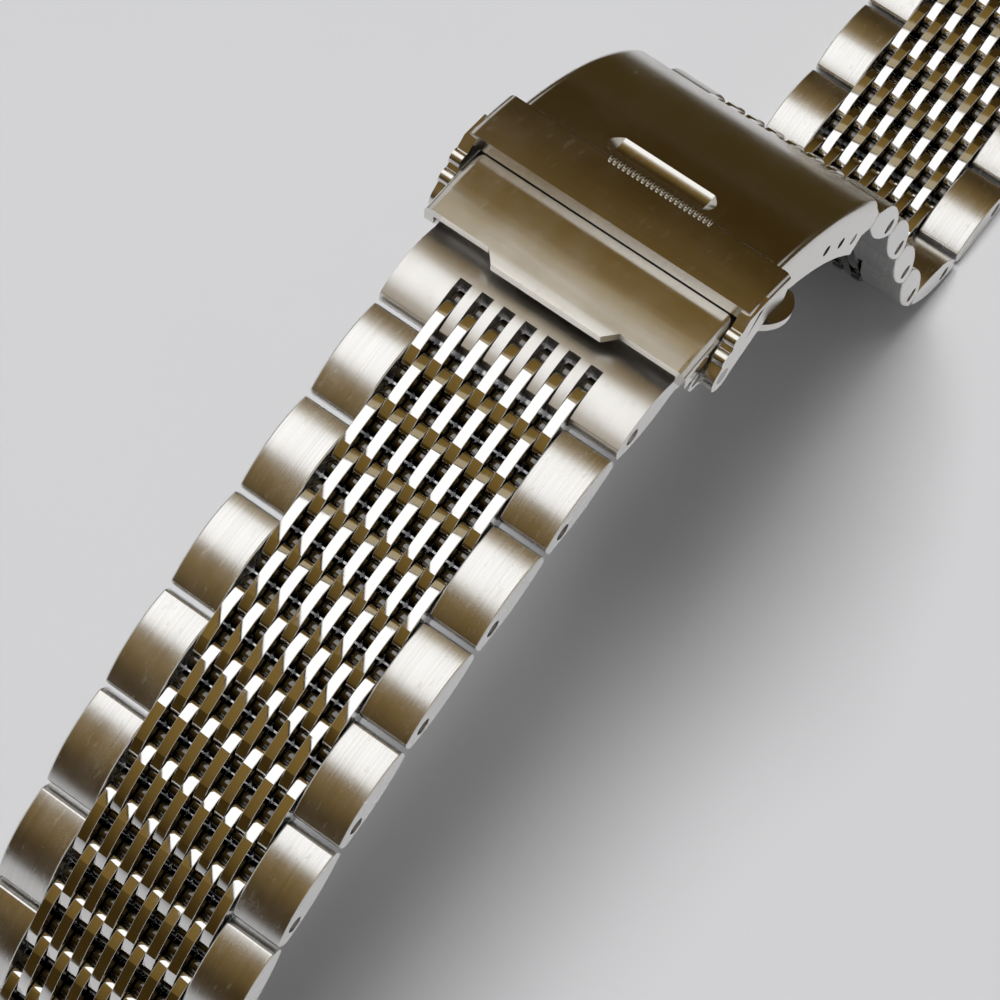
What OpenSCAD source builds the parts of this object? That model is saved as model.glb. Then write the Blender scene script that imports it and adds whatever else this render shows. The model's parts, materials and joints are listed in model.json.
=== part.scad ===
// Metal watch bracelet with a folding clasp and a safety lock.
// Two strap halves of brushed side links and polished plates meet at the clasp.
// It stands as it does when it is set down closed: one lug end on the floor,
// the clasp on top, and the other half dropping down and running out flat.

/* [Strap] */
// Width of the strap across its side links
strap_w = 20; // [19:0.25:21]
// Length from one side link to the next
link_p = 8; // [7.6:0.1:8.4]
// Height of the arched top above the pins
link_up = 1.6; // [1.45:0.05:1.7]
// Depth of the curved underside below the pins
link_down = 1.3; // [1.2:0.05:1.4]
// Gap between the ends of neighbouring links
link_gap = 0.3; // [0.24:0.02:0.4]
// Half height of a link at its ends
link_tip = 0.55; // [0.45:0.05:0.65]
// Width of the polished middle between the side links
middle_w = 11.9; // [11.2:0.1:12.4]
// Columns of plates across the polished middle
columns = 13; // [11:2:13]
// Gap between neighbouring plates
plate_gap = 0.08; // [0.07:0.01:0.1]
// Radius of the strap pins
pin_r = 0.6; // [0.5:0.02:0.64]
// Radial clearance round each pin
pin_gap = 0.04; // [0.03:0.01:0.05]

/* [Ends] */
// Length of an end link from its strap pin to its spring bar
end_len = 6; // [5.8:0.1:6.3]
// Length of a lug end from its strap pin to its tip
lug_len = 5.3; // [5:0.1:5.6]
// Radius of the bore that takes the watch's own spring bar
lug_bore_r = 0.9; // [0.8:0.02:0.95]
// Radius of a spring bar's body
bar_r = 0.75; // [0.7:0.01:0.8]
// Radius of a spring bar's tips
tip_r = 0.4; // [0.36:0.01:0.42]

/* [Clasp] */
// Outer radius of the cover's raised part
cover_r = 33; // [32.4:0.1:34]
// Angle that the cover spans along its curve
cover_span = 53; // [52.5:0.25:54]
// Thickness of the cover's sheet
sheet_t = 0.8; // [0.74:0.02:0.84]
// Drop from the raised part to the low part
step_drop = 1.1; // [1:0.02:1.15]
// Thickness of the blades
blade_t = 0.8; // [0.7:0.02:0.84]
// Width of the inner blade
blade_w = 12; // [11.4:0.1:12]
// Amount that each button stands out from the wall
button_out = 1.8; // [1.6:0.1:2]

/* [Pose] */
// Downward slope of the first row beside the clasp
near_start = 9; // [8:0.5:10]
// Downward slope of the steep stretch on the other half
drop_dip = 74; // [72:0.5:76]

/* [Hidden] */
$fn = 48;
smooth = 180;
near_n = 10;
far_n = 9;

// Strap sizes that follow from the ones above
pin_step = link_p / 2;
end_r = pin_step / 2 - link_gap / 2;
pitch = middle_w / columns;
plate_t = pitch - plate_gap;
side_in = middle_w / 2 + plate_gap / 2;
half_w = strap_w / 2;
hole_r = pin_r + pin_gap;
pin_half = half_w - 0.4;
barrel_r = 1.3;
slot_x = end_r + 0.25;
solid_x = end_len - 1;

// Clasp sizes, all in polar form: radius from the centre of the cover's curve
// and angle a from the cover's low end
low_r = cover_r - step_drop;
low_in = low_r - sheet_t;
step_a = 20.3;
shelf_a = 21.9;
wall_a = 25.8;
wall_r = cover_r - 4.4;
short_r = cover_r - 2.8;
in_w = half_w + 0.15;
out_w = in_w + 0.8;
corner_r = 0.75;
near_bar_r = cover_r - 3.86;
near_bar_a = 3;
far_bar_r = cover_r - 3;
far_bar_a = cover_span - 3.5;
lock_pin_pos = cover_r - 4.35;
lock_a = 6.6;
lock_pin_r = 0.6;
eye_r = 1.3;
arm_in = out_w + 0.15;
arm_out = arm_in + 0.9;
band_a0 = 11;
band_a1 = 20;
fold_r = cover_r - 2.75;
fold_a = 12.5;
fold_knuckle = 0.75;
fold_pin = 0.4;
inner_r = cover_r - 4.5;
outer_r = cover_r - 3.1;
turn_r = cover_r - 3.4;
turn_a = 33.4;
turn_knuckle = 1.1;
turn_pin = 0.5;
catch_a = 23.3;
bracket_a = 7.8;
tab_a = -1.8;
button_a = 20.5;
button_half = 2.4;
clasp_tilt = 4;

// Slopes of the rows, in degrees below level, counted away from the clasp
near_end_dip = -2;
far_end_dip = 50;
top_rows = 6;
top_bend = 0.8;
far_bend = 6;
turn_row = 9;
turn_bend = 21;
near_rows = 2 * near_n + 1;
far_rows = 2 * far_n + 1;
function near_slope(j, b) = near_start + top_bend * min(j, top_rows) + b * max(0, j - top_rows);
function drop_slope(j) = min(far_end_dip + far_bend * j, drop_dip);
function turn_slope(j) = max(0, drop_dip - turn_bend * (j - turn_row + 1));
function far_slope(j) = j < turn_row ? drop_slope(j) : turn_slope(j);

// A point of the clasp in the plane of its curve
function polar(r, a) = [r * sin(a + clasp_tilt), r * cos(a + clasp_tilt)];
function step_on(p, d, s, len) = p + len * [s * cos(d), -sin(d)];

// Pins of each half, from the end link's pin to the lug end's pin
near_bar = polar(near_bar_r, near_bar_a);
far_bar = polar(far_bar_r, far_bar_a);
near_pin0 = step_on(near_bar, near_end_dip, -1, end_len);
far_pin0 = step_on(far_bar, far_end_dip, 1, end_len);
function run(p, j, n, s, dips) = j > n ? [p]
    : concat([p], run(step_on(p, dips[j], s, pin_step), j + 1, n, s, dips));
far_dips = [for (j = [0 : far_rows + 1]) far_slope(j)];
far_pins = run(far_pin0, 1, far_rows, 1, far_dips);
floor_z = min([for (p = far_pins) p[1]]) - link_down;

// The near half bends evenly by the amount that brings its lug end to the floor
function near_dips_for(b) = [for (j = [0 : near_rows + 1]) near_slope(j, b)];
function near_pins_for(b) = run(near_pin0, 1, near_rows, -1, near_dips_for(b));
function lug_low(p, d) = p[1] - lug_len * sin(d) - abs(cos(d));
function near_low(b) = lug_low(near_pins_for(b)[near_rows], near_slope(near_rows + 1, b));
function level(lo, hi, n) = n == 0 ? (lo + hi) / 2
    : near_low((lo + hi) / 2) > floor_z ? level((lo + hi) / 2, hi, n - 1)
    : level(lo, (lo + hi) / 2, n - 1);
side_bend = level(3.5, 7, 24);
near_dips = near_dips_for(side_bend);
near_pins = near_pins_for(side_bend);

// The origin is under the middle of the object, on the floor
left_x = min([for (p = near_pins) p[0]]) - link_up;
right_x = far_pins[far_rows][0] + lug_len;
shift = [-(left_x + right_x) / 2, 0, -floor_z];

near_plate_nodes = [for (i = [1 : near_n + 1]) str("near_plates_", i)];
near_link_nodes = [for (i = [1 : near_n]) str("near_links_", i)];
far_plate_nodes = [for (i = [1 : far_n + 1]) str("far_plates_", i)];
far_link_nodes = [for (i = [1 : far_n]) str("far_links_", i)];
strap_ends = ["near_end_link", "near_lug_end", "far_end_link", "far_lug_end"];
clasp_parts = ["cover", "cover_hinge_pin", "outer_blade", "blade_hinge_pin",
    "inner_blade", "catch_plate", "end_bracket", "lock_pins", "safety_lock",
    "button_left", "button_right", "catch_spring", "near_spring_bar", "far_spring_bar"];

brushed = [0.66, 0.65, 0.63];
polished = [0.82, 0.82, 0.81];
satin = [0.58, 0.54, 0.5];
dark = [0.4, 0.39, 0.38];

// Extrudes a side view across the width, from y0 to y1
module across(y0, y1) {
    translate([0, y1, 0])
        rotate([90, 0, 0])
            linear_extrude(height = y1 - y0)
                children();
}

// Radius of the arc that rises by s over the half chord h
function arc_r(h, s) = (h * h + s * s) / (2 * s);

// Side view between two arcs that end at x0 and x1
module arched(x0, x1, up, down, tip) {
    half = (x1 - x0) / 2;
    top_arc = arc_r(half, up - tip);
    low_arc = arc_r(half, down - tip);
    intersection() {
        translate([(x0 + x1) / 2, up - top_arc])
            circle(r = top_arc, $fn = smooth);
        translate([(x0 + x1) / 2, low_arc - down])
            circle(r = low_arc, $fn = smooth);
    }
}

// Side view of every plate and side link: rounded ends about both pins
module link_side() {
    intersection() {
        arched(-link_p / 2, link_p / 2, link_up, link_down, link_tip);
        union() {
            square([pin_step, 2 * (link_up + link_down)], center = true);
            for (s = [-1, 1])
                translate([s * pin_step / 2, 0])
                    circle(r = end_r);
        }
    }
}

// Side view of a link minus its two pin holes
module drilled_side() {
    difference() {
        link_side();
        for (s = [-1, 1])
            translate([s * pin_step / 2, 0])
                circle(r = hole_r);
    }
}

function column_y(k) = (k - (columns - 1) / 2) * pitch;

// Plates in every second column, from the given first column
module plates(first) {
    for (k = [first : 2 : columns - 1])
        across(column_y(k) - plate_t / 2, column_y(k) + plate_t / 2)
            drilled_side();
}

// One strap pin on the row's width, at x
module strap_pin(x) {
    across(-pin_half, pin_half)
        translate([x, 0])
            circle(r = pin_r);
}

// Slots of a comb, open towards the strap, that take a row of plates
module comb_slots() {
    for (k = [0 : 2 : columns - 1])
        across(column_y(k) - (pitch + plate_gap) / 2, column_y(k) + (pitch + plate_gap) / 2)
            translate([-end_r - 1, -4])
                square([end_r + 1 + slot_x, 8]);
}

// Puts a row of the near half in place: +x towards the clasp
module near_at(p, d) {
    translate(shift + [p[0], 0, p[1]])
        rotate([0, -d, 0])
            children();
}

// Puts a row of the far half in place: +x towards the clasp
module far_at(p, d) {
    translate(shift + [p[0], 0, p[1]])
        rotate([0, d, 0])
            rotate([0, 0, 180])
                children();
}

// Puts a clasp part in place, from the centre of the cover's curve
module in_clasp() {
    translate(shift)
        rotate([0, clasp_tilt, 0])
            children();
}

// Sweeps a section, radius by width, along the clasp's curve
module sweep_arc(a0, a1) {
    rotate([90, 0, 0])
        rotate([0, 0, 90 - a1])
            rotate_extrude(angle = a1 - a0, $fn = smooth)
                children();
}

module ring_sector(r0, r1, y0, y1, a0, a1) {
    sweep_arc(a0, a1)
        translate([r0, -y1])
            square([r1 - r0, y1 - y0]);
}

// A round bar across the clasp at radius r and angle a
module cross_bar(r, a, bar, y0, y1) {
    rotate([0, a, 0])
        translate([0, y1, r])
            rotate([90, 0, 0])
                cylinder(r = bar, h = y1 - y0);
}

// A block that stands on the clasp's curve at angle a
module block_at(a, x0, x1, y0, y1, r0, r1) {
    rotate([0, a, 0])
        translate([x0, y0, r0])
            cube([x1 - x0, y1 - y0, r1 - r0]);
}

module plate_row() {
    color(polished)
        plates(0);
}

module link_row() {
    color(brushed)
        for (s = [-1, 1])
            side_link(s);
    color(polished)
        plates(1);
    color(dark)
        for (s = [-1, 1])
            strap_pin(s * pin_step / 2);
}

// One side link: the pin hole away from the clasp goes right through
module side_link(s) {
    y0 = s > 0 ? side_in : -half_w;
    y1 = s > 0 ? half_w : -side_in;
    difference() {
        across(y0, y1)
            link_side();
        across(-half_w - 1, half_w + 1)
            translate([-pin_step / 2, 0])
                circle(r = hole_r);
        across(-pin_half - pin_gap, pin_half + pin_gap)
            translate([pin_step / 2, 0])
                circle(r = hole_r);
    }
}

module end_link() {
    color(brushed)
        difference() {
            across(-half_w, half_w)
                end_side();
            comb_slots();
        }
    color(dark)
        strap_pin(0);
}

// Side view of an end link, from its strap pin at 0 to its barrel
module end_side() {
    difference() {
        union() {
            intersection() {
                arched(-pin_step / 2, end_len - 0.8, link_up, link_down, link_tip);
                union() {
                    circle(r = end_r);
                    translate([0, -4])
                        square([solid_x, 8]);
                }
            }
            translate([solid_x - 2, -0.9])
                square([end_len + 2 - solid_x, 1.8]);
            translate([end_len, 0])
                circle(r = barrel_r);
        }
        circle(r = hole_r);
        translate([end_len, 0])
            circle(r = bar_r + pin_gap);
    }
}

module lug_end() {
    color(brushed)
        difference() {
            across(-half_w, half_w)
                lug_side();
            mirror([1, 0, 0])
                comb_slots();
        }
    color(dark)
        strap_pin(0);
}

// Side view of a lug end, from its strap pin at 0 to its tip at -lug_len
module lug_side() {
    difference() {
        intersection() {
            arched(-lug_len - 0.9, pin_step / 2, link_up, link_down, link_tip);
            union() {
                circle(r = end_r);
                translate([-lug_len, -4])
                    square([lug_len, 8]);
            }
        }
        circle(r = hole_r);
        translate([lug_bore_r + 0.75 - lug_len, 0.1])
            circle(r = lug_bore_r);
    }
}

module near_plates(i) {
    j = 2 * i - 1;
    near_at((near_pins[j - 1] + near_pins[j]) / 2, near_dips[j])
        plate_row();
}

module near_links(i) {
    j = 2 * i;
    near_at((near_pins[j - 1] + near_pins[j]) / 2, near_dips[j])
        link_row();
}

module near_end_link() {
    near_at(near_pins[0], near_end_dip)
        end_link();
}

module near_lug_end() {
    near_at(near_pins[near_rows], near_dips[near_rows + 1])
        lug_end();
}

module far_plates(i) {
    j = 2 * i - 1;
    far_at((far_pins[j - 1] + far_pins[j]) / 2, far_dips[j])
        plate_row();
}

module far_links(i) {
    j = 2 * i;
    far_at((far_pins[j - 1] + far_pins[j]) / 2, far_dips[j])
        link_row();
}

module far_end_link() {
    far_at(far_pins[0], far_end_dip)
        end_link();
}

module far_lug_end() {
    far_at(far_pins[far_rows], far_dips[far_rows + 1])
        lug_end();
}

// Solid section of the cover with rounded top edges, from its foot up
module cover_section(foot, top) {
    translate([foot, -out_w])
        square([top - corner_r - foot, 2 * out_w]);
    translate([foot, corner_r - out_w])
        square([top - foot, 2 * (out_w - corner_r)]);
    for (s = [-1, 1])
        translate([top - corner_r, s * (out_w - corner_r)])
            circle(r = corner_r);
}

// The cover's block before its holes: a low part and a raised part
module cover_block() {
    sweep_arc(tab_a, step_a + 0.5)
        cover_section(wall_r - 0.5, low_r);
    sweep_arc(step_a, cover_span)
        cover_section(wall_r, cover_r);
}

// The space inside the cover, and the shorter walls beside the buttons
module cover_inside() {
    ring_sector(wall_r - 2, low_in, -in_w, in_w, tab_a - 2, cover_span + 2);
    ring_sector(low_in - 0.5, cover_r - sheet_t, 0.06 - in_w, in_w - 0.06, shelf_a, cover_span + 3);
    ring_sector(wall_r - 3, short_r, -out_w - 1, out_w + 1, tab_a - 3, wall_a);
}

module cover() {
    color(satin)
        in_clasp()
            difference() {
                union() {
                    difference() {
                        cover_block();
                        cover_inside();
                        for (s = [0, 1])
                            mirror([0, s, 0])
                                beside_tab();
                    }
                    for (s = [-1, 1]) {
                        fold_lug(s);
                        button_guide(s);
                    }
                }
                for (a = [far_bar_a, far_bar_a - 5.7, far_bar_a - 11.4])
                    cross_bar(far_bar_r, a, tip_r + 0.05, -out_w - 1, out_w + 1);
                cross_bar(fold_r, fold_a, fold_pin + 0.03, -8, 8);
                finger_scoop();
            }
}

// What is cut away beside the tapered fingernail tab at the cover's low end
module beside_tab() {
    translate([0, 0, low_in - 6])
        linear_extrude(height = 10)
            polygon([[0, 5.5], [0, 14], [-3, 14], [-3, 4.6], [-0.98, 4.6]]);
}

// Shallow hollow in the raised part beside the step
module finger_scoop() {
    rotate([0, 22.9, 0])
        translate([0, 0, cover_r + 1.6])
            rotate([90, 0, 0])
                rotate_extrude()
                    polygon([[0, -5], [1.3, -5], [2, -3.8], [2, 3.8], [1.3, 5], [0, 5]]);
}

// Lug under the low part that carries the outer blade
module fold_lug(s) {
    y0 = s > 0 ? 6.3 : -7.3;
    cross_bar(fold_r, fold_a, 0.85, y0, y0 + 1);
    block_at(fold_a, -0.85, 0.85, y0, y0 + 1, fold_r, low_in + 0.3);
}

// Loop under the raised part that guides a button's finger
module button_guide(s) {
    y0 = s > 0 ? 6.9 : -7.5;
    foot = low_in - 0.5;
    top = cover_r - sheet_t / 2;
    rotate([0, catch_a, 0])
        across(y0, y0 + 0.6)
            difference() {
                translate([-1.1, foot])
                    square([2.2, top - foot]);
                translate([-0.72, low_in - 0.1])
                    square([1.44, top]);
            }
}

module cover_hinge_pin() {
    color(dark)
        in_clasp()
            cross_bar(fold_r, fold_a, fold_pin, -7.3, 7.3);
}

module outer_blade() {
    color(brushed)
        in_clasp()
            difference() {
                union() {
                    cross_bar(fold_r, fold_a, fold_knuckle, -6.2, 6.2);
                    difference() {
                        ring_sector(outer_r, outer_r + 0.6, -6.1, 6.1, fold_a + 1, turn_a - 0.6);
                        for (s = [0, 1])
                            mirror([0, s, 0])
                                beside_outer();
                    }
                    cross_bar(turn_r, turn_a, turn_knuckle, -2.9, 2.9);
                }
                cross_bar(fold_r, fold_a, fold_pin + 0.03, -8, 8);
                cross_bar(turn_r, turn_a, turn_pin + 0.03, -8, 8);
            }
}

// What is cut away on one side of the outer blade: room for the catch and the fork
module beside_outer() {
    block_at(catch_a, -2, 2, 4.2, 8, outer_r - 2, outer_r + 3);
    block_at(turn_a, -1.5, 2, 2.9, 8, outer_r - 2, outer_r + 3);
}

module blade_hinge_pin() {
    color(dark)
        in_clasp()
            cross_bar(turn_r, turn_a, turn_pin, -5.9, 5.9);
}

module inner_blade() {
    color(brushed)
        in_clasp()
            difference() {
                union() {
                    difference() {
                        ring_sector(inner_r, inner_r + blade_t, -blade_w / 2, blade_w / 2, 8.9, turn_a);
                        block_at(turn_a, -1.5, 2, -3, 3, inner_r - 2, inner_r + 3);
                    }
                    for (s = [-1, 1])
                        inner_fork(s);
                }
                cross_bar(turn_r, turn_a, turn_pin + 0.03, -8, 8);
                for (s = [-1, 1])
                    rivet(s, 0.53, inner_r - 1, inner_r + 2);
            }
}

// One side of the inner blade's forked hinge end
module inner_fork(s) {
    y0 = s > 0 ? 3 : -blade_w / 2;
    y1 = s > 0 ? blade_w / 2 : -3;
    cross_bar(turn_r, turn_a, turn_knuckle, y0, y1);
}

module rivet(s, r, r0, r1) {
    rotate([0, 9.9, 0])
        translate([0, s * 2.5, r0])
            cylinder(r = r, h = r1 - r0);
}

// Strip on the inner blade with an upright windowed lug at each side
module catch_plate() {
    low = inner_r + blade_t + 0.05;
    color(brushed)
        in_clasp()
            difference() {
                union() {
                    block_at(catch_a, -0.86, 0.86, -6.7, 6.7, low, low + 0.3);
                    for (y = [-6.7, 6.1])
                        block_at(catch_a, -0.86, 0.86, y, y + 0.6, low, low_in - 0.1);
                }
                block_at(catch_a, -0.57, 0.57, -8, 8, low + 0.4, low_in - 0.55);
            }
}

module end_bracket() {
    blade_top = inner_r + blade_t;
    color(brushed)
        in_clasp()
            difference() {
                union() {
                    block_at(bracket_a, -0.9, 0.42, -out_w, out_w, inner_r - 0.3, blade_top);
                    block_at(bracket_a, -0.9, 0.4, -4, 4, inner_r, blade_top + 0.4);
                    block_at(bracket_a, -0.9, 1.5, -4, 4, blade_top + 0.05, blade_top + 0.4);
                    for (y = [-out_w, in_w])
                        rotate([0, bracket_a, 0])
                            across(y, y + 0.8)
                                ear_side();
                    for (s = [-1, 1])
                        rivet(s, 0.5, inner_r, blade_top + 0.2);
                }
                cross_bar(near_bar_r, near_bar_a, tip_r + 0.04, -out_w - 1, out_w + 1);
                cross_bar(lock_pin_pos, lock_a, lock_pin_r + 0.03, -out_w - 1, out_w + 1);
            }
}

// Side view of an ear, round about the spring bar and the lock pin
module ear_side() {
    bar = beside(near_bar_r, near_bar_a);
    pin = beside(lock_pin_pos, lock_a);
    translate(bar)
        circle(r = 0.84);
    translate(pin)
        circle(r = eye_r - 0.05);
    polygon([bar + [0, 0.75], pin + [0, 1.1], pin + [0, -1.1], bar + [0, -0.75]]);
    translate([pin[0], inner_r - 0.3])
        square([0.9 - pin[0], blade_t + 0.3]);
}

// A point in the side view that is turned to the bracket's bar
function beside(r, a) = [r * sin(a - bracket_a), r * cos(a - bracket_a)];

module lock_pins() {
    color(dark)
        in_clasp()
            for (s = [-1, 1])
                cross_bar(lock_pin_pos, lock_a, lock_pin_r,
                    s > 0 ? half_w + 0.08 : -arm_out, s > 0 ? arm_out : -half_w - 0.08);
}

module safety_lock() {
    color(satin)
        in_clasp()
            difference() {
                union() {
                    sweep_arc(band_a0, band_a1)
                        band_section();
                    for (y = [-arm_out, arm_in])
                        lock_arm(y, y + 0.9);
                }
                cross_bar(lock_pin_pos, lock_a, lock_pin_r + 0.03, -arm_out - 1, arm_out + 1);
            }
}

// Section of the lock's band with rounded outer edges and short skirts
module band_section() {
    top = cover_r + 0.1;
    difference() {
        union() {
            translate([cover_r - 2.4, -arm_out])
                square([1.9, 2 * arm_out]);
            translate([cover_r - 2.4, 0.6 - arm_out])
                square([top - cover_r + 2.4, 2 * arm_out - 1.2]);
            for (s = [-1, 1])
                translate([top - 0.6, s * (arm_out - 0.6)])
                    circle(r = 0.6);
        }
        translate([cover_r - 3, -arm_in])
            square([low_r + 0.12 - cover_r + 3, 2 * arm_in]);
    }
}

// Arm from the band down to its eye, with two grip bumps on its edge
module lock_arm(y0, y1) {
    cross_bar(lock_pin_pos, lock_a, eye_r, y0, y1);
    rotate([0, lock_a, 0])
        translate([0, 0, lock_pin_pos])
            across(y0, y1) {
                polygon([[-1.1, 0.7], [2.2, 4.2], [4.6, 4.1], [5.2, 1.5], [1.05, -0.75]]);
                translate([0.1, 1.75])
                    circle(r = 0.62);
                translate([1.15, 2.9])
                    circle(r = 0.62);
            }
}

// Button with its finger, on the +y side: round-nosed tab, web and finger
module button() {
    tab_r = cover_r - 4.1;
    reach = out_w + button_out;
    rotate([0, button_a, 0])
        translate([0, 0, tab_r])
            linear_extrude(height = 0.6)
                intersection() {
                    translate([-button_half, 8.6])
                        square([2 * button_half, reach - 8.6]);
                    translate([0, reach - 3.2])
                        circle(r = 3.2, $fn = smooth);
                }
    block_at(catch_a, -0.57, 0.57, 8.6, 9.2, tab_r + 0.2, low_in + 0.4);
    block_at(catch_a, -0.57, 0.57, 5.62, 9.2, low_in, low_in + 0.4);
}

module button_left() {
    color(satin)
        in_clasp()
            button();
}

module button_right() {
    color(satin)
        in_clasp()
            mirror([0, 1, 0])
                button();
}

// Spring fork under the raised part: two legs whose noses hold the catch plate
module catch_spring() {
    top = cover_r - sheet_t - 0.05;
    nose = outer_r + 0.02;
    color(dark)
        in_clasp() {
            block_at(catch_a, -0.57, 0.57, -5.5, 5.5, top - 0.3, top);
            for (s = [0, 1])
                mirror([0, s, 0]) {
                    block_at(catch_a, -0.57, 0.57, 5.2, 5.5, nose, top - 0.1);
                    block_at(catch_a, -0.42, 0.42, 5.3, 6.5, nose, nose + 0.45);
                }
        }
}

// Spring bar with its two tips
module spring_bar(r, a) {
    cross_bar(r, a, bar_r, 0.15 - half_w, half_w - 0.15);
    cross_bar(r, a, tip_r, 0.05 - out_w, out_w - 0.05);
}

module near_spring_bar() {
    color(dark)
        in_clasp()
            spring_bar(near_bar_r, near_bar_a);
}

module far_spring_bar() {
    color(dark)
        in_clasp()
            spring_bar(far_bar_r, far_bar_a);
}

cover();
cover_hinge_pin();
outer_blade();
blade_hinge_pin();
inner_blade();
catch_plate();
end_bracket();
lock_pins();
safety_lock();
button_left();
button_right();
catch_spring();
near_spring_bar();
far_spring_bar();
near_end_link();
near_lug_end();
far_end_link();
far_lug_end();
for (i = [1 : near_n + 1])
    near_plates(i);
for (i = [1 : near_n])
    near_links(i);
for (i = [1 : far_n + 1])
    far_plates(i);
for (i = [1 : far_n])
    far_links(i);
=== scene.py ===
"""Dressed metal watch bracelet: rounded links, brushed and polished steel, and the stage it stands on."""

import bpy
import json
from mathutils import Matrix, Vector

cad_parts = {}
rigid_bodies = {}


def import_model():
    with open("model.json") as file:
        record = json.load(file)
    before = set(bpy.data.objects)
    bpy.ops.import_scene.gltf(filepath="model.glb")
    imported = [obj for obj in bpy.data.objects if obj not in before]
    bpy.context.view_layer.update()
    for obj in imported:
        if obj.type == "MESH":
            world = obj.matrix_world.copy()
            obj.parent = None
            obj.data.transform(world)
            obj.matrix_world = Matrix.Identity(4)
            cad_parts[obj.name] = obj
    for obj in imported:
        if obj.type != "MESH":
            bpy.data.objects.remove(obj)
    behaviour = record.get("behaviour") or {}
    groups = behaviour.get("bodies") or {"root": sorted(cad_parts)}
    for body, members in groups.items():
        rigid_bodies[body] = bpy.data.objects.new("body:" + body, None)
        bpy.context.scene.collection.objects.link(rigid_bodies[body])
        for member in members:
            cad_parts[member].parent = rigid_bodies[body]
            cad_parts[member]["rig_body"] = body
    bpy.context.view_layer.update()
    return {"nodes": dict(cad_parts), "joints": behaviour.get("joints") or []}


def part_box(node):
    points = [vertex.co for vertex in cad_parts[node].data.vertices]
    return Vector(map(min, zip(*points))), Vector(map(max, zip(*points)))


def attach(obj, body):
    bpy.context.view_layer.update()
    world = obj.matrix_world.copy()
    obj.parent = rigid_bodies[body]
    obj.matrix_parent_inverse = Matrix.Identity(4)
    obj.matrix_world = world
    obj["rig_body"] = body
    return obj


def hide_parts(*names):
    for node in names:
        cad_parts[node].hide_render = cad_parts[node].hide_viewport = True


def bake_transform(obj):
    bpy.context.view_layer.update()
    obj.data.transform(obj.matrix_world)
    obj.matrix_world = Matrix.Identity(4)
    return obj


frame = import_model()

import json
import math

import bmesh
import bpy
import numpy as np
from mathutils import Matrix, Vector

bl_info = {
    "name": "Metal Watch Bracelet",
    "version": (1, 0, 0),
    "blender": (4, 5, 0),
    "location": "View3D > Sidebar > Bracelet",
    "description": "Rounded links, steel finishes and a stage for the packed bracelet model",
    "category": "Object",
}

MM = 0.001
WELD = 0.002 * MM
SHARP = math.radians(28)
BLADE_EDGE = 0.06 * MM
# Height where the shade between the plates starts, and the drop over which it gets full
SHADE_TOP, SHADE_DROP = 0.95 * MM, 0.8 * MM
# Centre of the clasp's curve in millimetres
CLASP_CENTRE = (-10.6214, 0.0, 23.911)
# Where the catch spring and the lock's teeth lie on that curve
SPRING_TILT, COMB_TILT = math.radians(27.3), math.radians(24.0)
ROOM_RADIUS = 0.9
SENSOR_WIDTH = 36.0
JOINTS = {joint["name"]: joint for joint in frame["joints"]}
ROWS = {"near": 21, "far": 19}


# Sizes and colours that a user would change

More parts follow.
